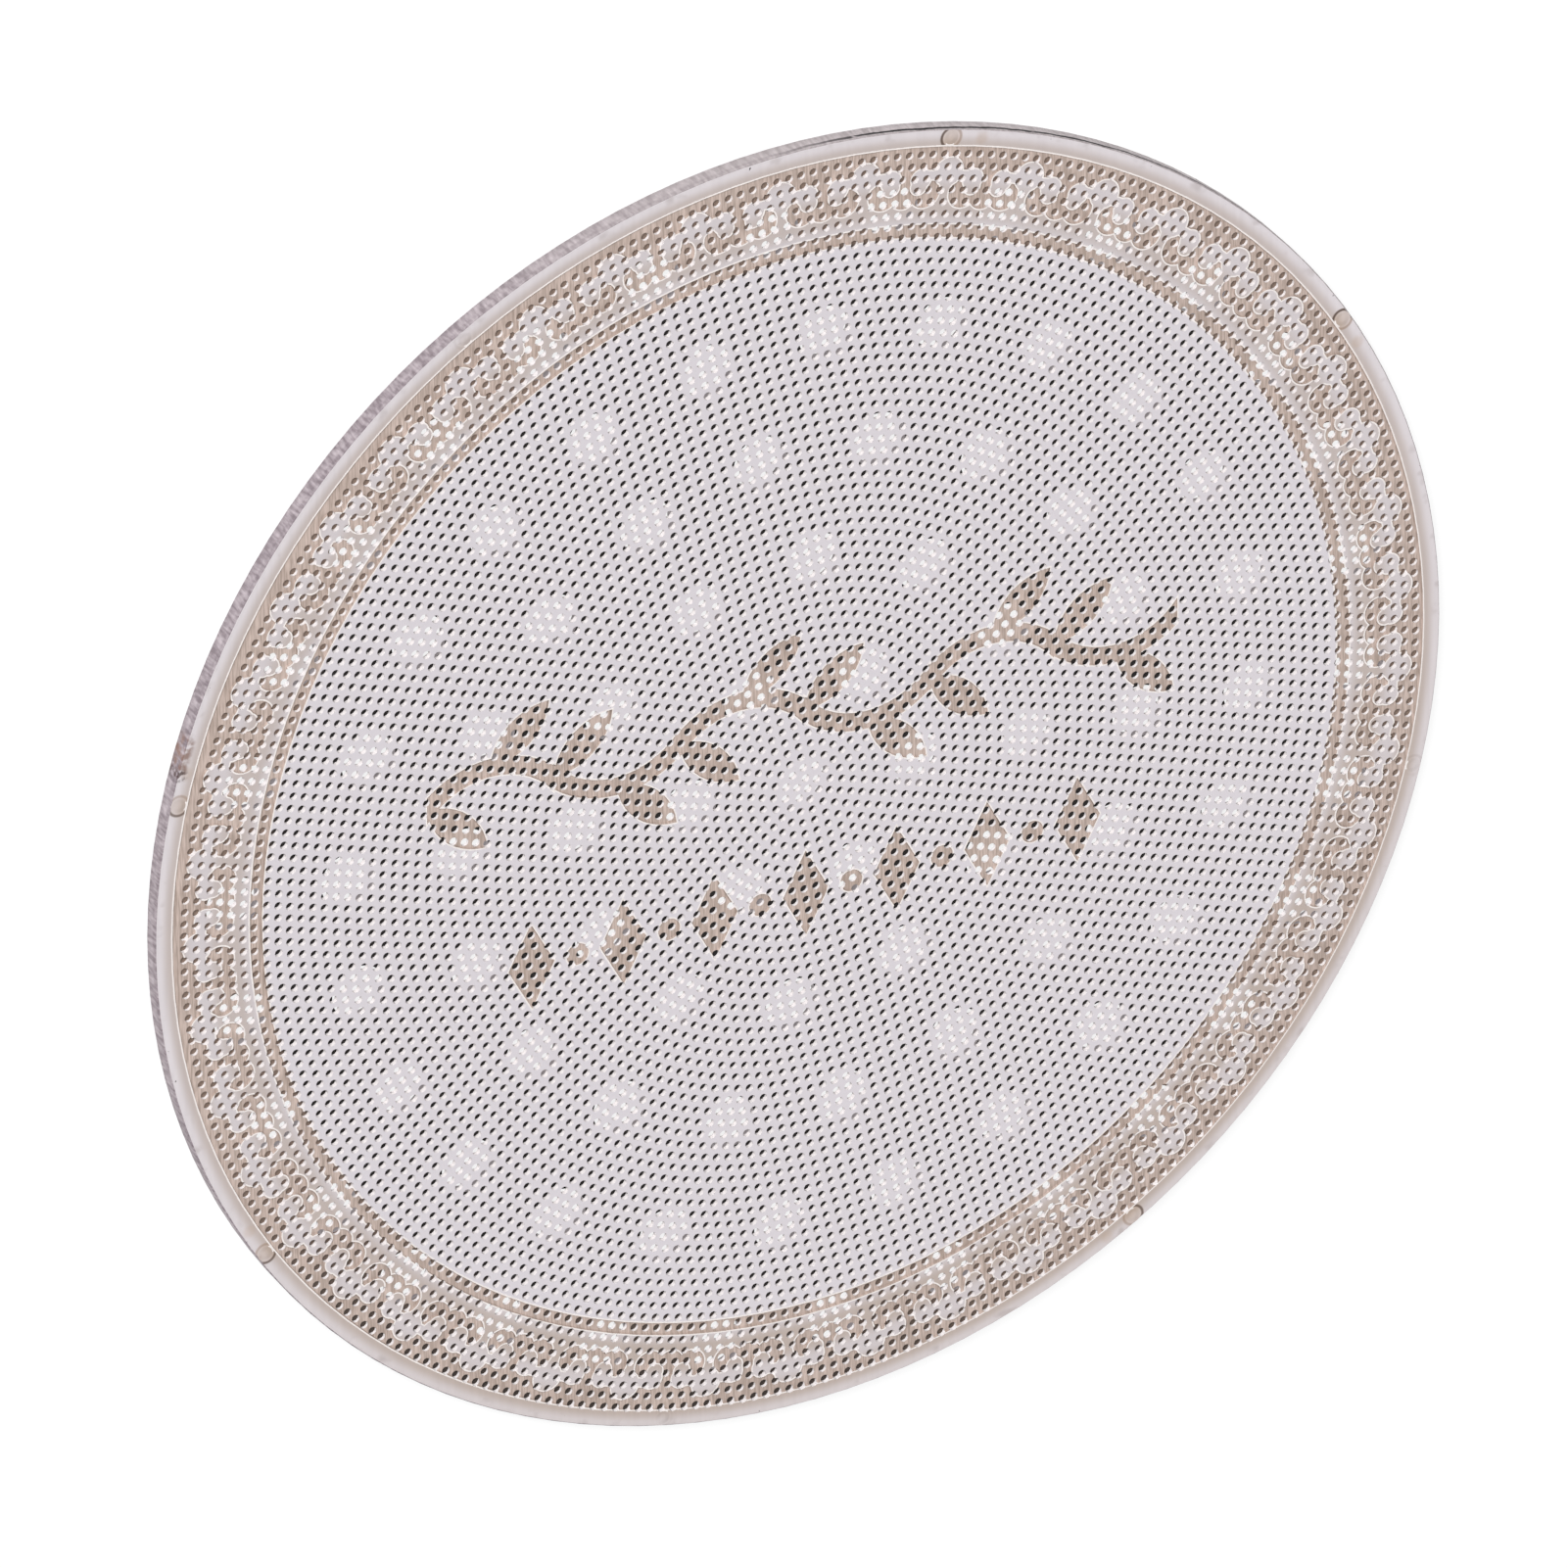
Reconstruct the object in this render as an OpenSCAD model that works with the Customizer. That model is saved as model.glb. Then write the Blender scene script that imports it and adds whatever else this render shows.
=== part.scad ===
// Filter disc for a coffee basket: a thin screen of fine holes, spot-welded at its rim
// to a stiffer back plate of coarse bores. The screen's face is etched with a border of
// cloud scrolls, a groove ring, a leaf scroll and a row of lozenges and beads.
// It lies on its back plate: the axis is Z, the underside is at Z = 0, the screen is on top.

/* [Discs] */
// Outer diameter of the screen and of the back plate
disc_d = 53.5; // [46:0.5:60]
// Thickness of the back plate
plate_t = 0.5; // [0.3:0.05:1]
// Thickness of the screen
screen_t = 0.2; // [0.15:0.01:0.4]
// Slope broken off the outer edges, across and along the axis
edge_break = 0.04; // [0.02:0.01:0.08]

/* [Bores of the back plate] */
// Diameter of a bore
bore_d = 2.2; // [1:0.1:3]
// Distance from one ring of bores to the next
bore_pitch = 4.7; // [3.6:0.1:6]
// Least metal between the outermost bores and the edge
bore_margin = 1.5; // [0.8:0.1:4]
// Turn of the bore pattern about the axis, in degrees
bore_turn = -3.2; // [-30:0.1:30]

/* [Fine holes of the screen] */
// Diameter of a fine hole
fine_d = 0.3; // [0.2:0.01:0.4]
// Distance from one ring of fine holes to the next
fine_pitch = 0.477; // [0.45:0.001:0.7]
// Turn of the fine pattern about the axis, in degrees
fine_turn = 41.5; // [0:0.5:60]
// Every how-manieth hole of every how-manieth ring is cut through
fine_step = 10; // [8:1:25]

/* [Etched border] */
// Depth of every etched area
etch_depth = 0.07; // [0.03:0.01:0.1]
// Width of the plain rim outside the border
rim_w = 0.7; // [0.7:0.05:1.2]
// Etched ground between the rim and the tops of the clouds
cloud_clear = 0.4; // [0.2:0.05:0.8]
// Height of a cloud scroll
cloud_h = 2.15; // [1.6:0.05:2.6]
// Least etched ground between one cloud and the next
cloud_space = 0.32; // [0.2:0.02:0.8]
// Turn of the ring of clouds about the axis, in degrees
cloud_turn = 4; // [0:0.5:8]
// Width of the plain band at the feet of the clouds
band_w = 0.6; // [0.4:0.05:1]
// Width of the groove ring inside that band
groove_w = 0.5; // [0.3:0.05:0.8]

/* [Leaf scroll] */
// Distance of the scroll's middle line from the axis
scroll_y = 3.2; // [2.5:0.1:6]
// Length of one wave of the stem, from one crossing to the next
wave_l = 5.2; // [4:0.1:6]
// Rise of a wave above the middle line
wave_rise = 1.1; // [0.6:0.1:1.6]
// Number of waves
wave_count = 6; // [2:1:6]
// Width of the stem
stem_w = 0.75; // [0.4:0.05:1]
// Length of a leaf
leaf_l = 3.3; // [2:0.1:4]
// Width of a leaf
leaf_w = 1.3; // [0.6:0.1:1.8]
// Angle of a leaf to the middle line, in degrees
leaf_lean = 42; // [25:1:60]

/* [Lozenges and beads] */
// Distance of the row's middle line from the axis
row_y = 4.6; // [4:0.1:7]
// Number of lozenges
lozenge_count = 7; // [3:1:9]
// Width of a lozenge
lozenge_w = 1.9; // [1:0.1:2.4]
// Height of a lozenge
lozenge_h = 3.6; // [2:0.1:4]
// Diameter of the bead between two lozenges
bead_d = 0.9; // [0.4:0.05:1.2]
// Plain metal between a bead and the lozenge tips beside it
bead_gap = 0.5; // [0.3:0.05:1]

/* [Weld marks] */
// Number of spot welds round the rim
weld_count = 8; // [3:1:12]
// Diameter of the dimple that a weld leaves
weld_d = 0.55; // [0.3:0.05:0.6]
// Depth of that dimple
weld_depth = 0.03; // [0.01:0.01:0.05]
// Turn of the ring of welds about the axis, in degrees
weld_turn = 31.5; // [0:0.5:45]

/* [Hidden] */
$fn = 96;

// Overlap of a cutting shape past the face that it cuts
over = 0.5;

disc_r = disc_d / 2;
top_z = plate_t + screen_t;
etch_z = top_z - etch_depth;

// Radii of the border, from the edge inwards
rim_in_r = disc_r - rim_w;
cloud_foot_r = rim_in_r - cloud_clear - cloud_h;
groove_out_r = cloud_foot_r - band_w;
groove_in_r = groove_out_r - groove_w;

// A cloud is drawn one unit high, its foot on the X axis
dome_r = 0.29;
body_low = 0.54;
body_high = 0.745;
lobe_r = 0.213;
lobe_x = 0.51;
lobe_y = 0.565;
// End of a lobe, curled under it
curl_r = 0.175;
curl_x = 0.525;
curl_y = 0.43;
// Round pockets of ground to either side of the stem
stem_half = 0.097;
pocket_r = 0.28;
pocket_x = stem_half + pocket_r;
pocket_y = 0.31;
// Round arch of ground between one cloud and the next, and the opening above it
arch_r = 0.25;
arch_y = 0.28;
opening_half = 0.4;
opening_low = 0.17;
opening_high = 0.62;
// Height above which the ground runs on from one cloud to the next
ground_low = 0.57;

cloud_w = 2 * (lobe_x + lobe_r) * cloud_h;
cloud_mid_r = cloud_foot_r + lobe_y * cloud_h;
cloud_count = floor(2 * PI * cloud_mid_r / (cloud_w + cloud_space));

bore_rings = floor((disc_r - bore_margin - bore_d / 2) / bore_pitch);
fine_rings = floor((rim_in_r - fine_d / 2) / fine_pitch);

// Circle of which one wave of the stem is an arc
wave_r = (pow(wave_l / 2, 2) + pow(wave_rise, 2)) / (2 * wave_rise);
// Circle of which the two edges of a leaf are arcs
leaf_r = (pow(leaf_l / 2, 2) + pow(leaf_w / 2, 2)) / leaf_w;
lozenge_pitch = lozenge_w + bead_d + 2 * bead_gap;

weld_ring_r = disc_r - rim_w / 2;
// Ball whose cap is the dimple of a weld
weld_ball_r = (pow(weld_d / 2, 2) + pow(weld_depth, 2)) / (2 * weld_depth);

// Flat disc with its lower or upper outer edge broken
module edged_disc(thickness, break_top) {
    low_r = break_top ? disc_r : disc_r - edge_break;
    high_r = break_top ? disc_r - edge_break : disc_r;
    low_wall = break_top ? 0 : edge_break;
    high_wall = break_top ? thickness - edge_break : thickness;
    rotate_extrude()
        polygon([
            [0, 0],
            [low_r, 0],
            [disc_r, low_wall],
            [disc_r, high_wall],
            [high_r, thickness],
            [0, thickness],
        ]);
}

// One hole in the middle and rings of six, twelve, eighteen and so on round it,
// thinned to every step-th hole of every step-th ring
module ring_pattern(rings, pitch, step = 1) {
    children();
    for (ring = [step:step:rings])
        for (i = [0:6 * ring / step - 1])
            rotate(60 * i * step / ring)
                translate([ring * pitch, 0])
                    children();
}

// Flat ring between two radii
module flat_ring(outer_r, inner_r) {
    difference() {
        circle(outer_r);
        circle(inner_r);
    }
}

// Head of a cloud scroll: a dome, and a lobe at either side with its end curled under
module cloud_head() {
    translate([0, 1 - dome_r])
        circle(dome_r);
    translate([-lobe_x, body_low])
        square([2 * lobe_x, body_high - body_low]);
    for (side = [-1, 1]) {
        translate([side * lobe_x, lobe_y])
            circle(lobe_r);
        translate([side * curl_x, curl_y])
            circle(curl_r);
    }
}

// Pockets of ground that leave the waisted stem of a cloud between them
module stem_pockets() {
    for (side = [-1, 1])
        translate([side * pocket_x, pocket_y])
            circle(pocket_r);
}

// Ground between one cloud and the next
module cloud_gap() {
    translate([0, arch_y])
        circle(arch_r);
    translate([-opening_half, opening_low])
        square([2 * opening_half, opening_high - opening_low]);
}

// Repeats a shape at the foot of every cloud, or part of a step further round
module on_clouds(part_step = 0) {
    for (i = [0:cloud_count - 1])
        rotate(cloud_turn + (i + part_step) * 360 / cloud_count - 90)
            translate([0, cloud_foot_r])
                scale(cloud_h)
                    children();
}

// Etched ground of the border, with the clouds left standing, and the groove ring
module border_ground() {
    difference() {
        union() {
            flat_ring(rim_in_r, cloud_foot_r + ground_low * cloud_h);
            on_clouds()
                stem_pockets();
            on_clouds(0.5)
                cloud_gap();
        }
        on_clouds()
            cloud_head();
    }
    flat_ring(groove_out_r, groove_in_r);
}

// One wave of the stem, from the origin along X, rising above the middle line
module stem_wave() {
    intersection() {
        translate([wave_l / 2, wave_rise - wave_r])
            flat_ring(wave_r + stem_w / 2, wave_r - stem_w / 2);
        translate([0, -stem_w])
            square([wave_l, wave_rise + 2 * stem_w]);
    }
}

// Leaf from the origin along X, pointed at both ends
module leaf() {
    intersection() {
        translate([leaf_l / 2, leaf_w / 2 - leaf_r])
            circle(leaf_r);
        translate([leaf_l / 2, leaf_r - leaf_w / 2])
            circle(leaf_r);
    }
}

// Leaf scroll: waves to either side in turn, each with a leaf inside and one outside its bend
module leaf_scroll() {
    for (i = [0:wave_count - 1])
        translate([(i - wave_count / 2) * wave_l, 0])
            mirror([0, i % 2])
                union() {
                    stem_wave();
                    rotate(-leaf_lean)
                        leaf();
                    translate([wave_l / 2, wave_rise])
                        rotate(leaf_lean)
                            leaf();
                }
}

// Row of lozenges with a bead between each two
module lozenge_row() {
    for (i = [0:lozenge_count - 1])
        translate([(i - (lozenge_count - 1) / 2) * lozenge_pitch, 0])
            polygon([
                [-lozenge_w / 2, 0],
                [0, -lozenge_h / 2],
                [lozenge_w / 2, 0],
                [0, lozenge_h / 2],
            ]);
    for (i = [0:lozenge_count - 2])
        translate([(i - (lozenge_count - 2) / 2) * lozenge_pitch, 0])
            circle(d = bead_d);
}

// Ball that presses the dimple of one weld into the rim
module weld_ball() {
    translate([weld_ring_r, 0, top_z - weld_depth + weld_ball_r])
        sphere(weld_ball_r);
}

// Stiff back plate with its rings of coarse bores
module back_plate() {
    color("#b4acae")
        difference() {
            edged_disc(plate_t, false);
            rotate(bore_turn)
                ring_pattern(bore_rings, bore_pitch)
                    translate([0, 0, -over])
                        cylinder(d = bore_d, h = plate_t + 2 * over);
        }
}

// Thin screen with its fine holes, etched ornament and weld dimples
module front_screen() {
    color("#dad5d8")
        difference() {
            translate([0, 0, plate_t])
                edged_disc(screen_t, true);
            translate([0, 0, etch_z])
                linear_extrude(etch_depth + over) {
                    border_ground();
                    translate([0, scroll_y])
                        leaf_scroll();
                    translate([0, -row_y])
                        lozenge_row();
                }
            rotate(fine_turn)
                ring_pattern(fine_rings, fine_pitch, fine_step)
                    translate([0, 0, plate_t - over])
                        cylinder(d = fine_d, h = screen_t + 2 * over);
            for (i = [0:weld_count - 1])
                rotate(weld_turn + i * 360 / weld_count)
                    weld_ball();
        }
}

back_plate();
front_screen();
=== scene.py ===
import math

import bmesh
import bpy
from mathutils import Matrix, Vector


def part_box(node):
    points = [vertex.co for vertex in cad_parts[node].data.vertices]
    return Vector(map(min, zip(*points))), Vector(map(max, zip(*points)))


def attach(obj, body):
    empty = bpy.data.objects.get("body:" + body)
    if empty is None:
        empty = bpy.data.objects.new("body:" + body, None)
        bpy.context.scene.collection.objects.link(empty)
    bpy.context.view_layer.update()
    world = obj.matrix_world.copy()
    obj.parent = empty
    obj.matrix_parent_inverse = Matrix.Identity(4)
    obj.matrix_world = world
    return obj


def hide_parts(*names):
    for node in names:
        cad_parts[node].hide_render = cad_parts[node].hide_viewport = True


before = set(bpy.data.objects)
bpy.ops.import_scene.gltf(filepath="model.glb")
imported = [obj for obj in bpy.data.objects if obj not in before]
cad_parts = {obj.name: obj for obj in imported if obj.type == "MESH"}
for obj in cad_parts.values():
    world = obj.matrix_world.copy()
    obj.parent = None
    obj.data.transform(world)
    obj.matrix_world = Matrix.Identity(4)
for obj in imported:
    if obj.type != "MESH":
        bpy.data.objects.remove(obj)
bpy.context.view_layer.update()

MM = 0.001

# Sizes of the disc, from the frame
SCREEN_LOW, SCREEN_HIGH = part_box("front_screen")
DISC_R = SCREEN_HIGH.x
FACE_Z = SCREEN_HIGH.z
PLATE_TOP_Z = SCREEN_LOW.z

# Fine holes: one in the middle, then rings of six, twelve, eighteen and so on
HOLE_PITCH = 0.477 * MM
HOLE_CORNER_D = 0.328 * MM
HOLE_SIDES = 10
HOLE_TURN = math.radians(41.5)
HOLE_RINGS = 54
# The perforation lies a little off the disc's centre, and is a little longer one way than the other
HOLES_SHIFT = Vector((0.111, -0.171, 0)) * MM
HOLES_STRETCH = Vector((0.995, 1.0037, 1))
HOLES_STRETCH_TURN = math.radians(157)
# The screen's mesh is made in round zones, each ending half a pitch past one of these rings
ZONE_LAST_RINGS = {"screen_middle": 24, "screen_inner_field": 35, "screen_outer_field": 43,
                   "screen_groove": 49, "screen_border": HOLE_RINGS}
ZONE_SIDES = 360
# Height of the pins that cut the holes, and how far the last zone's cut passes the edge
CUT_HEIGHT = 4 * MM
CUT_PAST_EDGE = 1 * MM

# Etched areas: their depth, the slope of their walls and its limit at sharp corners,
# and the low bright lip along their edges
ETCH_DEPTH = 0.07 * MM
ETCH_SLOPE = 0.03 * MM
LEAST_SPREAD = 0.4
LIP_W = 0.055 * MM
LIP_H = 0.003 * MM
LEVEL_SLACK = 0.001 * MM
# Corners of the solid's loose triangles that lie closer than this are one corner
MERGE_GAP = 0.0005 * MM
# The solid has every tenth hole of every tenth ring
CAD_HOLE_STEP = 10
CAD_HOLE_D = 0.3 * MM
# Corners of such a hole's wall lie within this distance of its centre
CAD_HOLE_REACH = CAD_HOLE_D / 2 * 1.03

# Spot welds round the rim
WELD_STEP = math.tau / 8
WELD_TURN = math.radians(31.5)
WELD_RING_R = DISC_R - 0.35 * MM
WELD_MARK_R = 0.4 * MM
# Place of the fainter second mark beside each weld, along the rim
WELD_SECOND_OFFSET = (-1.3 * MM, 0, 0)
# Picks how strongly each weld is tinted
WELD_SEED = 2233
# Brown scorch beside one weld, and its darkest spot
SCORCH_SPOT = Vector((-25.3, 8.15, 0)) * MM
CHAR_SPOT = Vector((-25.55, 7.4, 0)) * MM
# Direction of the stretch of edge where the two sheets gape
GAPE_SIDE = Vector((0.47, 0.88, 0))
# Direction of the side where the border and the rim are the brownest
BROWN_SIDE = Vector((0.26, -0.97, 0))
# Direction of the stretch of border where the painted shade in the fine holes is the darkest
DARK_SIDE = Vector((-0.34, -0.94, 0))

# Rings of the border
BAND_IN_R = 22.9 * MM
CLOUD_MID_R = 25.0 * MM
RIM_IN_R = DISC_R - 0.7 * MM
# Walls further out than this are the discs' outer edges
EDGE_ZONE_R = DISC_R - 0.1 * MM

# Upright share of a face's normal: below the first the face is a wall, below the second it is steep,
# and above the last it is level
WALL_RISE = 0.1
STEEP_RISE = 0.9
LEVEL_RISE = 0.995
# Corners flatter than this are shaded round
SMOOTH_ANGLE = math.radians(38)

# Share of the floor's look that is pure white; the rest is lit paper with the shadow
FLOOR_WHITE_SHARE = 0.85

# The photograph's camera: lens in pixels, place and aim
PHOTO_SIDE = 1601
FOCAL_PX = 24096
SENSOR_MM = 36
CAMERA_AIM = Vector((-0.884, 0.298, 0.7)) * MM
CAMERA_DISTANCE = 871.1 * MM
CAMERA_AZIMUTH = math.radians(128.22)
CAMERA_ELEVATION = math.radians(50.11)
CAMERA_ROLL = math.radians(133.89)

# Short names for nodes and their settings
MATH = "ShaderNodeMath"
PLUS = {"operation": "ADD"}
MINUS = {"operation": "SUBTRACT"}
TIMES = {"operation": "MULTIPLY"}
OVER = {"operation": "DIVIDE"}
TIMES_PLUS = {"operation": "MULTIPLY_ADD"}
LESS = {"operation": "LESS_THAN"}
MORE = {"operation": "GREATER_THAN"}
MIX = "ShaderNodeMix"
COLOURS = {"data_type": "RGBA"}
FADE = "ShaderNodeMapRange"
SMOOTH = {"interpolation_type": "SMOOTHSTEP"}
VECTOR = "ShaderNodeVectorMath"
LENGTH = {"operation": "LENGTH"}
DISTANCE = {"operation": "DISTANCE"}
ABSOLUTE = {"operation": "ABSOLUTE"}
BOOLEAN = "GeometryNodeMeshBoolean"
CYLINDER = "GeometryNodeMeshCylinder"


def linear(hex_colour):
    """Linear RGBA of an sRGB hex colour."""
    parts = [int(hex_colour[i:i + 2], 16) / 255 for i in (1, 3, 5)]
    return [c / 12.92 if c <= 0.04045 else ((c + 0.055) / 1.055) ** 2.4 for c in parts] + [1.0]


def add(tree, kind, settings=None, *values, **named):
    """Adds a node with its settings, and sets or links its inputs in order or by name."""
    made = tree.nodes.new(kind)
    for name, value in (settings or {}).items():
        setattr(made, name, value)
    open_inputs = [socket for socket in made.inputs if socket.enabled]
    pairs = list(zip(open_inputs, values))
    for key, value in named.items():
        wanted = key.replace("_", " ")
        pairs.append((next(socket for socket in open_inputs if socket.name == wanted), value))
    for socket, value in pairs:
        if isinstance(value, bpy.types.Node):
            value = next(out for out in value.outputs if out.enabled)
        if isinstance(value, bpy.types.NodeSocket):
            tree.links.new(value, socket)
        else:
            socket.default_value = value
    return made


def direction(azimuth, elevation):
    """Unit vector at an angle round the axis and above the horizon."""
    flat = math.cos(elevation)
    return Vector((math.cos(azimuth) * flat, math.sin(azimuth) * flat, math.sin(elevation)))


def link(obj):
    """Puts an object into the scene."""
    bpy.context.scene.collection.objects.link(obj)
    return obj


def new_material(name):
    """A material with an empty tree, and that tree."""
    material = bpy.data.materials.new(name)
    material.use_nodes = True
    material.node_tree.nodes.clear()
    return material, material.node_tree


# Camera, floor and light

def make_camera():
    """Camera at the place, with the lens and the roll that the photograph was taken with."""
    data = bpy.data.cameras.new("photo_camera")
    data.sensor_width = SENSOR_MM
    data.lens = FOCAL_PX / PHOTO_SIDE * SENSOR_MM
    data.clip_end = 10
    camera = link(bpy.data.objects.new("photo_camera", data))
    back = direction(CAMERA_AZIMUTH, CAMERA_ELEVATION)
    level = Vector((0, 0, 1)).cross(back).normalized()
    rise = back.cross(level)
    right = level * math.cos(CAMERA_ROLL) + rise * math.sin(CAMERA_ROLL)
    up = back.cross(right)
    turn = Matrix((right, up, back)).transposed().to_4x4()
    camera.matrix_world = Matrix.Translation(CAMERA_AIM + back * CAMERA_DISTANCE) @ turn
    bpy.context.scene.camera = camera


def make_floor():
    """White paper that the camera sees as nearly pure white, with the disc's faint shadow on it."""
    half = 3.0
    drop = 0.01 * MM
    mesh = bpy.data.meshes.new("studio_floor")
    corners = [(-half, -half, -drop), (half, -half, -drop), (half, half, -drop), (-half, half, -drop)]
    mesh.from_pydata(corners, [], [(0, 1, 2, 3)])
    floor = link(bpy.data.objects.new("studio_floor", mesh))
    material, tree = new_material("white_paper")
    path = add(tree, "ShaderNodeLightPath").outputs
    seen = add(tree, MATH, PLUS, path["Is Camera Ray"], path["Is Glossy Ray"])
    seen = add(tree, MATH, {"operation": "ADD", "use_clamp": True}, seen, path["Is Transmission Ray"])
    share = add(tree, MATH, TIMES, seen, FLOOR_WHITE_SHARE)
    paper = add(tree, "ShaderNodeBsdfDiffuse", Color=linear("#f4f4f4"))
    white = add(tree, "ShaderNodeEmission", Color=(1, 1, 1, 1), Strength=1.0)
    mix = add(tree, "ShaderNodeMixShader", None, share, paper, white)
    add(tree, "ShaderNodeOutputMaterial", Surface=mix)
    mesh.materials.append(material)


def make_softbox(name, azimuth, elevation, distance, side, watts):
    """Square lamp that faces the disc; angles in degrees, lengths in metres."""
    data = bpy.data.lights.new(name, "AREA")
    data.size = side
    data.energy = watts
    box = link(bpy.data.objects.new(name, data))
    away = direction(math.radians(azimuth), math.radians(elevation))
    box.location = away * distance
    box.rotation_euler = away.to_track_quat("Z", "Y").to_euler()
    return box


def make_light():
    """White surroundings, a main lamp on the camera's side and a faint wide one across from it."""
    world = bpy.data.worlds.new("white_studio")
    bpy.context.scene.world = world
    world.use_nodes = True
    tree = world.node_tree
    tree.nodes.clear()
    path = add(tree, "ShaderNodeLightPath").outputs
    strength = add(tree, FADE, None, path["Is Camera Ray"], To_Min=0.4, To_Max=1.0)
    sky = add(tree, "ShaderNodeBackground", Color=(1, 1, 1, 1), Strength=strength)
    add(tree, "ShaderNodeOutputWorld", Surface=sky)
    key = make_softbox("key_softbox", azimuth=129, elevation=38, distance=0.8, side=0.3, watts=10.0)
    # Mirrored in the flat face, it would drown the far side's view in glare
    key.visible_glossy = False
    make_softbox("far_softbox", azimuth=309, elevation=50, distance=0.9, side=0.9, watts=1.6)


# Materials

def end_in_metal(tree, **inputs):
    """Ends a material's tree in a metal surface with these inputs set or linked."""
    surface = add(tree, "ShaderNodeBsdfPrincipled", None, **inputs)
    add(tree, "ShaderNodeOutputMaterial", Surface=surface)


def lumps(tree, *sizes):
    """Noise with lumps of these sizes in millimetres along X, along Y, which is the rolling direction,
    and along Z."""
    where = add(tree, "ShaderNodeTexCoord").outputs["Object"]
    spread = add(tree, "ShaderNodeMapping", None, where, Scale=[1 / (size * MM) for size in sizes])
    return add(tree, "ShaderNodeTexNoise", None, spread, Scale=1.0, Detail=2.0)


def from_axis(tree):
    """Distance from the disc's axis."""
    where = add(tree, "ShaderNodeTexCoord").outputs["Object"]
    flat = add(tree, VECTOR, TIMES, where, (1, 1, 0))
    return add(tree, VECTOR, LENGTH, flat).outputs["Value"]


def weld_marks(tree):
    """Shares of the tan tint, the brown ring and the dark hook that each spot weld left on the rim."""
    where = add(tree, "ShaderNodeTexCoord").outputs["Object"]
    place = add(tree, "ShaderNodeSeparateXYZ", None, where).outputs
    angle = add(tree, MATH, {"operation": "ARCTAN2"}, place["Y"], place["X"])
    angle = add(tree, MATH, MINUS, angle, WELD_TURN)
    number = add(tree, MATH, {"operation": "ROUND"}, add(tree, MATH, OVER, angle, WELD_STEP))
    off_weld = add(tree, MATH, TIMES_PLUS, number, -WELD_STEP, angle)
    seeded = add(tree, MATH, PLUS, number, WELD_SEED)
    strength = add(tree, "ShaderNodeTexWhiteNoise", {"noise_dimensions": "1D"}, seeded).outputs["Value"]
    along = add(tree, MATH, TIMES, off_weld, WELD_RING_R)
    outward = add(tree, MATH, MINUS, from_axis(tree), WELD_RING_R)
    offset = add(tree, "ShaderNodeCombineXYZ", None, along, outward)
    reach = add(tree, VECTOR, LENGTH, offset).outputs["Value"]
    tint = add(tree, FADE, SMOOTH, reach, 0.6 * WELD_MARK_R, 1.4 * WELD_MARK_R, 1.0, 0.0)
    second = add(tree, VECTOR, DISTANCE, offset, WELD_SECOND_OFFSET)
    faint = add(tree, FADE, SMOOTH, second.outputs["Value"], 0.3 * WELD_MARK_R, 0.9 * WELD_MARK_R, 0.7, 0.0)
    tint = add(tree, MATH, {"operation": "MAXIMUM"}, tint, faint)
    off_ring = add(tree, MATH, ABSOLUTE, add(tree, MATH, MINUS, reach, WELD_MARK_R))
    ring = add(tree, FADE, SMOOTH, off_ring, 0.02 * MM, 0.08 * MM, 1.0, 0.0)
    one_side = add(tree, FADE, SMOOTH, along, -0.05 * MM, 0.25 * MM)
    hook = add(tree, MATH, TIMES, ring, one_side)
    return [add(tree, MATH, TIMES, share, strength) for share in (tint, ring, hook)]


def scorch_marks(tree):
    """Shares of the brown scorch beside one weld and of its darkest spot."""
    where = add(tree, "ShaderNodeTexCoord").outputs["Object"]
    flat = add(tree, VECTOR, TIMES, where, (1, 1, 0))
    marks = []
    for spot, size, lump in ((SCORCH_SPOT, 1.0 * MM, 0.3), (CHAR_SPOT, 0.35 * MM, 0.15)):
        off = add(tree, VECTOR, DISTANCE, flat, spot).outputs["Value"]
        near = add(tree, FADE, SMOOTH, off, 0.4 * size, size, 1.0, 0.0)
        patches = add(tree, FADE, SMOOTH, lumps(tree, lump, lump, lump), 0.35, 0.65, 0.0, 0.8)
        marks.append(add(tree, MATH, TIMES, near, patches))
    return marks


def towards_side(tree, side):
    """Distance of a point from the disc's middle, measured along one direction."""
    where = add(tree, "ShaderNodeTexCoord").outputs["Object"]
    return add(tree, VECTOR, {"operation": "DOT_PRODUCT"}, where, side).outputs["Value"]


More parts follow.
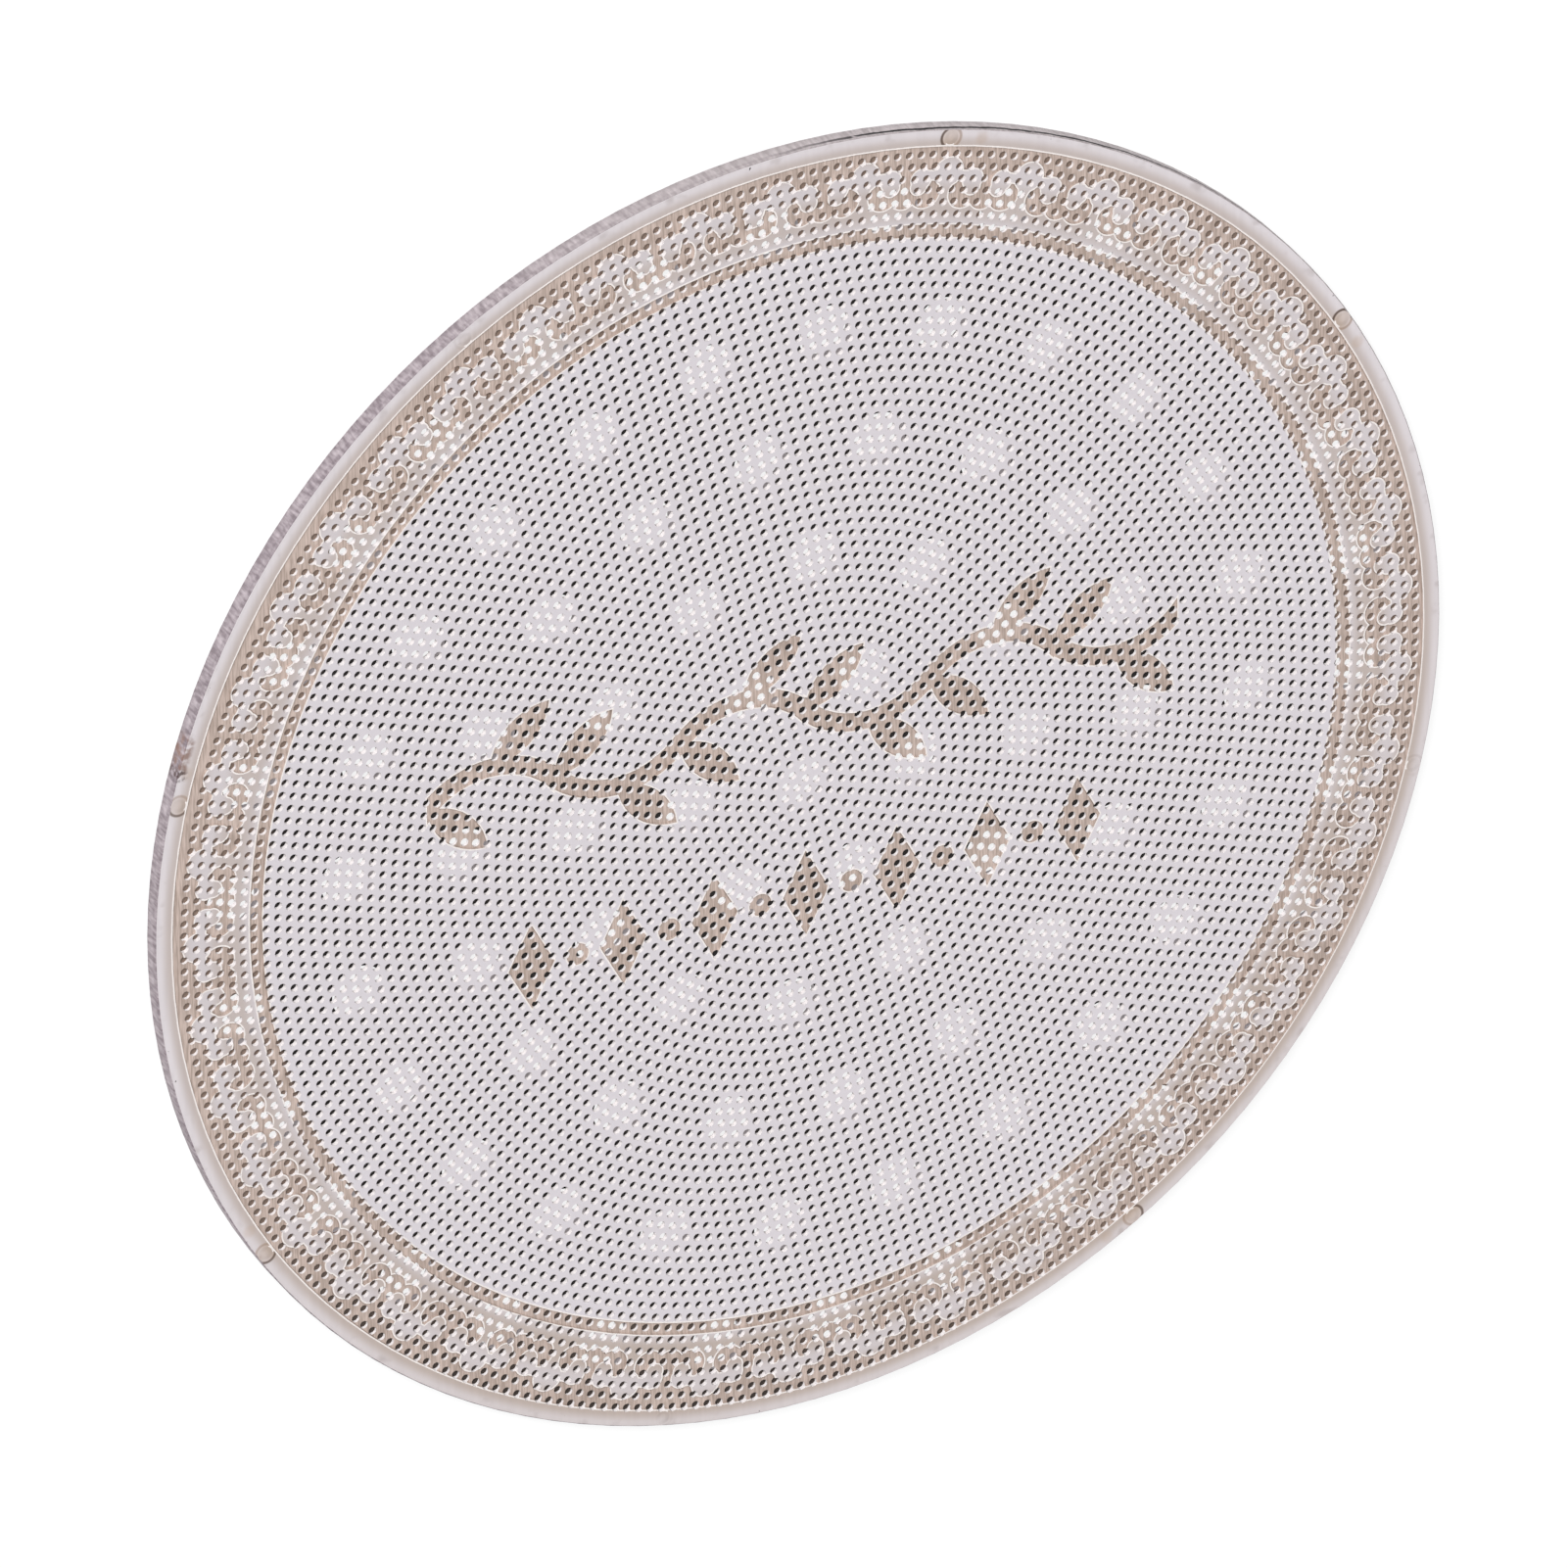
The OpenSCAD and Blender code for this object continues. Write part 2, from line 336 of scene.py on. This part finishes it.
def rolled_face():
    """Rolled stainless sheet, satin: a pale, faintly lilac silver, tan towards the etched border,
    with the brown rings of the spot welds and a few dark smudges and specks on the rim."""
    material, tree = new_material("rolled_stainless_face")
    # The real grain is some hundredths of a millimetre wide, drawn coarser to show
    grain = lumps(tree, 0.12, 2.5, 1.0)
    colour = add(tree, MIX, COLOURS, grain, linear("#ddd7dc"), linear("#e8e2e7"))
    span = from_axis(tree)
    brown_side = towards_side(tree, BROWN_SIDE)
    brown = add(tree, FADE, SMOOTH, brown_side, -0.2 * DISC_R, 0.8 * DISC_R, 0.72, 0.95)
    in_border = add(tree, FADE, SMOOTH, span, BAND_IN_R - 0.3 * MM, BAND_IN_R + 0.6 * MM, 0.0, brown)
    off_clouds = add(tree, MATH, ABSOLUTE, add(tree, MATH, MINUS, span, CLOUD_MID_R))
    bare = add(tree, FADE, SMOOTH, off_clouds, 0.15 * MM, 0.85 * MM, 0.35, 1.0)
    in_border = add(tree, MATH, TIMES, in_border, bare)
    colour = add(tree, MIX, COLOURS, in_border, colour, linear("#c4b5ac"))
    clean = add(tree, FADE, SMOOTH, brown_side, -0.2 * DISC_R, 0.8 * DISC_R, 1.0, 0.68)
    off_rim = add(tree, FADE, SMOOTH, span, RIM_IN_R + 0.1 * MM, RIM_IN_R + 0.55 * MM, 0.0, clean)
    colour = add(tree, MIX, COLOURS, off_rim, colour, linear("#e6dfe2"))
    tint, ring, hook = weld_marks(tree)
    scorch, char = scorch_marks(tree)
    smudges = add(tree, FADE, SMOOTH, lumps(tree, 0.8, 0.8, 0.8), 0.55, 0.75, 0.0, 0.35)
    specks = add(tree, FADE, SMOOTH, lumps(tree, 0.22, 0.22, 0.22), 0.74, 0.80)
    on_rim = add(tree, FADE, SMOOTH, span, RIM_IN_R + 0.25 * MM, RIM_IN_R + 0.5 * MM)
    stains = (
        (add(tree, MATH, TIMES, smudges, on_rim), "#a2948f"),
        (add(tree, MATH, TIMES, tint, 0.4), "#bf9d78"),
        (add(tree, MATH, TIMES, ring, 0.6), "#94745a"),
        (add(tree, MATH, TIMES, hook, 0.9), "#43352f"),
        (add(tree, MATH, TIMES, scorch, on_rim), "#8b6a5c"),
        (char, "#48302e"),
        (add(tree, MATH, TIMES, specks, on_rim), "#3b3130"),
    )
    for share, shade in stains:
        colour = add(tree, MIX, COLOURS, share, colour, linear(shade))
    sheen = add(tree, FADE, None, grain, 0.3, 0.7, 0.35, 0.41)
    end_in_metal(tree, Base_Color=colour, Roughness=sheen, Metallic=1.0)
    return material


def etched_ground():
    """Half-etched stainless: a matte tan ground with the fine streaks of the rolling laid bare."""
    material, tree = new_material("etched_stainless_ground")
    streaks = add(tree, FADE, None, lumps(tree, 0.06, 0.9, 1.0), 0.35, 0.65)
    colour = add(tree, MIX, COLOURS, streaks, linear("#9f8f86"), linear("#c3b1a8"))
    stain = add(tree, FADE, None, lumps(tree, 0.9, 0.9, 0.9), 0.45, 0.75, 0.0, 0.35)
    colour = add(tree, MIX, COLOURS, stain, colour, linear("#8a776b"))
    relief = add(tree, "ShaderNodeBump", None, Strength=0.25, Distance=0.01 * MM, Height=streaks)
    end_in_metal(tree, Base_Color=colour, Normal=relief, Metallic=0.35, Roughness=0.55)
    return material


def bright_lip():
    """Lip along an etched area: bare metal, seen as a thin bright line."""
    material, tree = new_material("bright_etched_lip")
    glint = lumps(tree, 0.15, 0.15, 0.15)
    colour = add(tree, MIX, COLOURS, glint, linear("#d9d1ce"), linear("#ebe5e2"))
    end_in_metal(tree, Base_Color=colour, Metallic=0.5, Roughness=0.38)
    return material


def hole_wall():
    """Wall of an etched-through hole: frosted metal, nearly white where the light falls in."""
    material, tree = new_material("frosted_etched_hole_wall")
    frost = lumps(tree, 0.08, 0.08, 0.08)
    colour = add(tree, MIX, COLOURS, frost, linear("#cbc5c5"), linear("#dcd7d7"))
    end_in_metal(tree, Base_Color=colour, Metallic=0.0, Roughness=0.6)
    return material


def blanked_edge():
    """Blanked edges of the two sheets: dull grey-mauve with upright shear marks, and a dark broken line of
    painted shade in the gap between the sheets, strongest on the side where they gape."""
    material, tree = new_material("blanked_stainless_edge")
    shear = add(tree, FADE, None, lumps(tree, 0.15, 0.15, 0.6), 0.35, 0.7)
    colour = add(tree, MIX, COLOURS, shear, linear("#8c8086"), linear("#bbb0b5"))
    gape_side = towards_side(tree, GAPE_SIDE)
    paler = add(tree, FADE, SMOOTH, gape_side, 0.4 * DISC_R, 0.9 * DISC_R, 0.0, 0.45)
    colour = add(tree, MIX, COLOURS, paler, colour, linear("#c2bbb9"))
    where = add(tree, "ShaderNodeTexCoord").outputs["Object"]
    height = add(tree, "ShaderNodeSeparateXYZ", None, where).outputs["Z"]
    wave = lumps(tree, 0.9, 0.9, 0.9)
    waver = add(tree, FADE, None, wave, 0.3, 0.7, PLATE_TOP_Z + 0.01 * MM, PLATE_TOP_Z + 0.1 * MM)
    # Painted shade of the gap between the two sheets: a dark wavering line near their join
    off_gap_shade = add(tree, MATH, ABSOLUTE, add(tree, MATH, MINUS, height, waver))
    gap_shade = add(tree, FADE, SMOOTH, off_gap_shade, 0.05 * MM, 0.1 * MM, 1.0, 0.0)
    gape = add(tree, FADE, SMOOTH, gape_side, 0.84 * DISC_R, 0.94 * DISC_R, 0.12, 1.0)
    broken = add(tree, FADE, SMOOTH, lumps(tree, 0.5, 0.5, 0.5), 0.25, 0.45)
    gap_shade = add(tree, MATH, TIMES, gap_shade, add(tree, MATH, TIMES, gape, broken))
    scorch, char = scorch_marks(tree)
    # 1e1a1c is the painted shade in the gap; the scorch colours are real stains
    for share, shade in ((gap_shade, "#1e1a1c"), (scorch, "#8b6a5c"), (char, "#48302e")):
        colour = add(tree, MIX, COLOURS, share, colour, linear(shade))
    dulled = add(tree, FADE, None, shear, 0.0, 1.0, 0.65, 0.55)
    end_in_metal(tree, Base_Color=colour, Roughness=dulled, Metallic=0.6)
    return material


def plate_face():
    """Rolled stainless sheet of the back plate: a plain satin silver."""
    material, tree = new_material("rolled_stainless_plate")
    grain = lumps(tree, 0.2, 4.0, 1.0)
    colour = add(tree, MIX, COLOURS, grain, linear("#c9c4c6"), linear("#dcd7d9"))
    end_in_metal(tree, Base_Color=colour, Metallic=1.0, Roughness=0.38)
    return material


def covered_face_painted_shade():
    """Plate face under the screen, painted with shade in place of its own silver: near black, so each fine
    hole ends dark, and a lighter brown shade under most of the border, less of it towards the side where the
    holes are darkest.
    """
    material, tree = new_material("covered_plate_painted_shade")
    # The plate's top is bare silver; these near-black colours are painted shade for the unlit floor of each
    # fine hole
    shade_lumps = lumps(tree, 1.5, 1.5, 1.5)
    colour = add(tree, MIX, COLOURS, shade_lumps, linear("#131110"), linear("#221e1c"))
    dark_side = towards_side(tree, DARK_SIDE)
    brown = add(tree, FADE, SMOOTH, dark_side, 0.6 * DISC_R, 0.95 * DISC_R, 1.0, 0.15)
    span = from_axis(tree)
    under_border = add(tree, FADE, SMOOTH, span, BAND_IN_R - 0.9 * MM, BAND_IN_R - 0.4 * MM, 0.0, brown)
    # Lighter painted shade under the border, where the main lamp lights part of each hole's floor
    colour = add(tree, MIX, COLOURS, under_border, colour, linear("#7a695e"))
    end_in_metal(tree, Base_Color=colour, Metallic=0.3, Roughness=0.7)
    return material


def bore_wall():
    """Wall of a large bore: drilled metal, mid grey."""
    material, tree = new_material("drilled_stainless_bore")
    marks = lumps(tree, 0.2, 0.2, 0.2)
    colour = add(tree, MIX, COLOURS, marks, linear("#8f8789"), linear("#b4acae"))
    end_in_metal(tree, Base_Color=colour, Metallic=0.6, Roughness=0.45)
    return material


# Screen

def near_cad_hole(point):
    """True on the wall of one of the holes that the solid already has."""
    step = HOLE_PITCH * CAD_HOLE_STEP
    ring = round(point.xy.length / step)
    if ring == 0:
        return point.xy.length < CAD_HOLE_D
    spacing = math.tau / 6 / ring
    angle = math.atan2(point.y, point.x) - HOLE_TURN
    nearest = round(angle / spacing) * spacing + HOLE_TURN
    hole = Vector((math.cos(nearest), math.sin(nearest))) * ring * step
    return (point.xy - hole).length < CAD_HOLE_REACH


def open_loops(bm):
    """Rings of corners along the open edges, each in order."""
    following = {}
    for edge in bm.edges:
        if edge.is_boundary:
            # The open side is walked against the direction of the face that is there
            corner = edge.link_loops[0]
            following[corner.link_loop_next.vert] = corner.vert
    while following:
        first, corner = following.popitem()
        ring = [first]
        while corner is not first:
            ring.append(corner)
            corner = following.pop(corner)
        yield ring


def lid(bm, ring):
    """Closes one open ring; one that steps down over an etched edge gets that step as well."""
    is_high = [corner.co.z > FACE_Z - LEVEL_SLACK for corner in ring]
    turns = [i for i in range(len(ring)) if is_high[i] and not is_high[i - 1]]
    if len(turns) != 1:
        bm.faces.new(ring)
        return
    ring = ring[turns[0]:] + ring[:turns[0]]
    split = is_high.count(True)
    high, low = ring[:split], ring[split:]
    for part in (high, low, [high[0], high[-1], low[0], low[-1]]):
        if len(part) > 2:
            bm.faces.new(part)


def close_cad_holes(bm):
    """Closes the fine holes that the solid has, for the full pattern to be cut instead."""
    upright = [f for f in bm.faces if abs(f.normal.z) < WALL_RISE]
    walls = [f for f in upright if all(near_cad_hole(v.co) for v in f.verts)]
    bmesh.ops.delete(bm, geom=walls, context="FACES")
    for ring in list(open_loops(bm)):
        lid(bm, ring)
    bm.normal_update()
    bmesh.ops.triangulate(bm, faces=[f for f in bm.faces if len(f.verts) > 3])
    bmesh.ops.recalc_face_normals(bm, faces=bm.faces)


def top_faces(bm):
    """The level faces at the screen's full height."""
    floor = FACE_Z - LEVEL_SLACK
    return [f for f in bm.faces if f.normal.z > LEVEL_RISE and min(v.co.z for v in f.verts) > floor]


def raise_lips(bm):
    """Sinks the top face a little inside its outline, which leaves a low lip along every edge."""
    bmesh.ops.inset_region(bm, faces=top_faces(bm), use_boundary=True, use_even_offset=True,
                           thickness=LIP_W, depth=-LIP_H)


def slope_shift(normals):
    """Step that moves a corner away from one or two walls by the width of the slope."""
    first = normals[0]
    second = min(normals, key=first.dot)
    # The least spread keeps the step short at a sharp corner
    spread = max(1 + first.dot(second), LEAST_SPREAD)
    return (first + second) * (ETCH_SLOPE / spread)


def slope_etched_walls(bm):
    """Leans the upright walls of the etched areas by moving their lower edges inwards."""
    ground_z = FACE_Z - ETCH_DEPTH
    walls = {}
    for face in bm.faces:
        low = min(v.co.z for v in face.verts)
        if abs(face.normal.z) > WALL_RISE or low < ground_z - LEVEL_SLACK:
            continue
        for v in face.verts:
            if abs(v.co.z - ground_z) < LEVEL_SLACK:
                walls.setdefault(v, []).append(Vector((face.normal.x, face.normal.y)).normalized())
    for v, normals in walls.items():
        v.co.xy += slope_shift(normals)


def merged_copy(node):
    """The solid's mesh as a closed bmesh: its loose triangles joined."""
    bm = bmesh.new()
    bm.from_mesh(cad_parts[node].data)
    bmesh.ops.remove_doubles(bm, verts=bm.verts, dist=MERGE_GAP)
    bm.normal_update()
    return bm


def screen_blank():
    """The screen before its fine holes: the solid's own form, with lips and sloped walls."""
    bm = merged_copy("front_screen")
    close_cad_holes(bm)
    slope_etched_walls(bm)
    raise_lips(bm)
    mesh = bpy.data.meshes.new("screen_blank")
    bm.to_mesh(mesh)
    bm.free()
    return mesh


def holes_up_to(ring):
    """Number of holes in the middle and in the rings up to this one."""
    return 1 + 3 * ring * (ring + 1) if ring >= 0 else 0


def hole_spots(tree, given):
    """Points on the hole centres, each turned to face outwards."""
    # Hole number i lies in ring n, the whole part of (3 + root of (12 i - 3)) / 6
    number = add(tree, MATH, PLUS, add(tree, "GeometryNodeInputIndex"), given["First Hole"])
    root = add(tree, MATH, {"operation": "SQRT"}, add(tree, MATH, TIMES_PLUS, number, 12.0, -3.0))
    ring = add(tree, MATH, OVER, add(tree, MATH, PLUS, root, 3.0), 6.0)
    ring = add(tree, MATH, {"operation": "FLOOR"}, ring)
    before = add(tree, MATH, TIMES, ring, add(tree, MATH, MINUS, ring, 1.0))
    first = add(tree, MATH, TIMES_PLUS, before, 3.0, 1.0)
    place = add(tree, MATH, OVER, add(tree, MATH, MINUS, number, first), ring)
    angle = add(tree, MATH, TIMES_PLUS, place, math.tau / 6, given["Turn"])
    radius = add(tree, MATH, TIMES, ring, given["Pitch"])
    x = add(tree, MATH, TIMES, radius, add(tree, MATH, {"operation": "COSINE"}, angle))
    y = add(tree, MATH, TIMES, radius, add(tree, MATH, {"operation": "SINE"}, angle))
    spot = add(tree, "ShaderNodeCombineXYZ", None, x, y)
    points = add(tree, "GeometryNodePoints", None, given["Hole Count"], spot)
    return points, add(tree, "ShaderNodeCombineXYZ", Z=angle)


def dress_faces(tree, shape, face, ground, lip, wall, edge):
    """Gives each face the material of its slant, height and distance from the axis."""
    normal = add(tree, "ShaderNodeSeparateXYZ", None, add(tree, "GeometryNodeInputNormal"))
    rise = normal.outputs["Z"]
    place = add(tree, "GeometryNodeInputPosition")
    height = add(tree, "ShaderNodeSeparateXYZ", None, place).outputs["Z"]
    span = add(tree, VECTOR, LENGTH, place).outputs["Value"]
    in_rim = add(tree, MATH, LESS, span, RIM_IN_R + 2 * LIP_W)
    is_low = add(tree, MATH, LESS, height, FACE_Z - 2 * LIP_H)
    is_ground = add(tree, MATH, TIMES, is_low, in_rim)
    is_high = add(tree, MATH, MORE, height, FACE_Z - 0.9 * LIP_H)
    is_lip = add(tree, MATH, TIMES, is_high, in_rim)
    is_wall = add(tree, MATH, LESS, rise, WALL_RISE)
    is_steep = add(tree, MATH, LESS, rise, STEEP_RISE)
    is_edge = add(tree, MATH, TIMES, is_steep, add(tree, MATH, MORE, span, EDGE_ZONE_R))
    choices = ((face, True), (ground, is_ground), (lip, is_lip), (wall, is_wall), (edge, is_edge))
    for material, chosen in choices:
        shape = add(tree, "GeometryNodeSetMaterial", None, shape, chosen, material)
    return shape


def perforation_tree(*materials):
    """Geometry Nodes: takes a round zone of the screen and cuts its rings of fine holes through it."""
    tree = bpy.data.node_groups.new("fine_hole_rings", "GeometryNodeTree")
    tree.interface.new_socket("Zone", in_out="OUTPUT", socket_type="NodeSocketGeometry")
    tree.interface.new_socket("Screen", in_out="INPUT", socket_type="NodeSocketGeometry")
    for name in ("First Hole", "Hole Count", "Sides"):
        tree.interface.new_socket(name, in_out="INPUT", socket_type="NodeSocketInt")
    for name in ("Pitch", "Hole Radius", "Turn", "Cut Height", "Inner Radius", "Outer Radius"):
        tree.interface.new_socket(name, in_out="INPUT", socket_type="NodeSocketFloat")
    for name in ("Shift", "Stretch", "Stretch Turn"):
        tree.interface.new_socket(name, in_out="INPUT", socket_type="NodeSocketVector")
    given = add(tree, "NodeGroupInput").outputs
    height = given["Cut Height"]
    points, facing = hole_spots(tree, given)
    pin = add(tree, CYLINDER, Vertices=given["Sides"], Radius=given["Hole Radius"], Depth=height)
    pin = pin.outputs["Mesh"]
    pins = add(tree, "GeometryNodeInstanceOnPoints", Points=points, Instance=pin, Rotation=facing)
    pins = add(tree, "GeometryNodeRealizeInstances", None, pins)
    outer = add(tree, CYLINDER, Vertices=ZONE_SIDES, Radius=given["Outer Radius"], Depth=height)
    inner = add(tree, CYLINDER, Vertices=ZONE_SIDES, Radius=given["Inner Radius"], Depth=height)
    drawn = {"Translation": given["Shift"], "Rotation": given["Stretch Turn"], "Scale": given["Stretch"]}
    cutters = (outer.outputs["Mesh"], inner.outputs["Mesh"], pins)
    outer, inner, pins = [add(tree, "GeometryNodeTransform", None, cutter, **drawn) for cutter in cutters]
    keep = {"operation": "INTERSECT", "solver": "MANIFOLD"}
    cut = {"operation": "DIFFERENCE", "solver": "MANIFOLD"}
    # Both meshes of an intersection go into one socket
    zone = add(tree, BOOLEAN, keep, given["Screen"])
    tree.links.new(outer.outputs["Geometry"], zone.inputs["Mesh 2"])
    zone = add(tree, BOOLEAN, cut, zone, inner)
    zone = add(tree, BOOLEAN, cut, zone, pins)
    zone = add(tree, "GeometryNodeRealizeInstances", None, zone)
    add(tree, "NodeGroupOutput", None, dress_faces(tree, zone, *materials))
    return tree


def finish_piece(name, mesh, node):
    """Rounds the shading of the curved walls and hands the piece to the frame."""
    mesh.name = name
    mesh.set_sharp_from_angle(angle=SMOOTH_ANGLE)
    for polygon in mesh.polygons:
        polygon.use_smooth = abs(polygon.normal.z) < LEVEL_RISE
    piece = link(bpy.data.objects.new(name, mesh))
    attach(piece, "root")
    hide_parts(node)


def zone_sizes(before, last):
    """What the perforation needs for the zone from after one ring up to another."""
    return {
        "First Hole": holes_up_to(before),
        "Hole Count": holes_up_to(last) - holes_up_to(before),
        "Sides": HOLE_SIDES,
        "Pitch": HOLE_PITCH,
        "Hole Radius": HOLE_CORNER_D / 2,
        "Turn": HOLE_TURN - HOLES_STRETCH_TURN,
        "Shift": HOLES_SHIFT,
        "Stretch": HOLES_STRETCH,
        "Stretch Turn": (0, 0, HOLES_STRETCH_TURN),
        "Cut Height": CUT_HEIGHT,
        # The middle hole swallows the first zone's inner cut
        "Inner Radius": (before + 0.5) * HOLE_PITCH if before > 0 else HOLE_CORNER_D / 4,
        "Outer Radius": (last + 0.5) * HOLE_PITCH if last < HOLE_RINGS else DISC_R + CUT_PAST_EDGE,
    }


def cut_zone(name, blank, tree, sizes):
    """Mesh of one zone, cut out of the blank and perforated."""
    sockets = {item.name: item.identifier for item in tree.interface.items_tree if item.in_out == "INPUT"}
    maker = link(bpy.data.objects.new(name + "_maker", blank))
    modifier = maker.modifiers.new("fine_hole_rings", "NODES")
    modifier.node_group = tree
    for label, value in sizes.items():
        modifier[sockets[label]] = value
    graph = bpy.context.evaluated_depsgraph_get()
    mesh = bpy.data.meshes.new_from_object(maker.evaluated_get(graph), depsgraph=graph)
    maker.modifiers.remove(modifier)
    bpy.data.objects.remove(maker)
    # The booleans leave an empty first material slot
    if mesh.materials[0] is None:
        mesh.materials.pop(index=0)
    return mesh


def make_screen(edge):
    """The screen with all its fine holes, zone by zone from the middle outwards."""
    blank = screen_blank()
    tree = perforation_tree(rolled_face(), etched_ground(), bright_lip(), hole_wall(), edge)
    before = -1
    for name, last in ZONE_LAST_RINGS.items():
        mesh = cut_zone(name, blank, tree, zone_sizes(before, last))
        finish_piece(name, mesh, "front_screen")
        before = last


# Back plate

def make_plate(edge):
    """The plate in the solid's own form, each face in the material of its place."""
    underside, covered, bore = plate_face(), covered_face_painted_shade(), bore_wall()
    materials = [underside, covered, edge, bore]
    bm = merged_copy("back_plate")
    for face in bm.faces:
        middle = face.calc_center_median()
        if face.normal.z > STEEP_RISE:
            # The upper face, seen only through the fine holes, takes the painted shade
            face.material_index = materials.index(covered)
        elif face.normal.z < -STEEP_RISE:
            face.material_index = materials.index(underside)
        elif middle.xy.length > EDGE_ZONE_R:
            face.material_index = materials.index(edge)
        else:
            face.material_index = materials.index(bore)
    mesh = bpy.data.meshes.new("back_plate_dressed")
    bm.to_mesh(mesh)
    bm.free()
    for material in materials:
        mesh.materials.append(material)
    finish_piece("back_plate_dressed", mesh, "back_plate")


# The whole scene

make_camera()
make_floor()
make_light()
outer_edge = blanked_edge()
make_screen(outer_edge)
make_plate(outer_edge)

bpy.context.scene.view_settings.view_transform = "Standard"
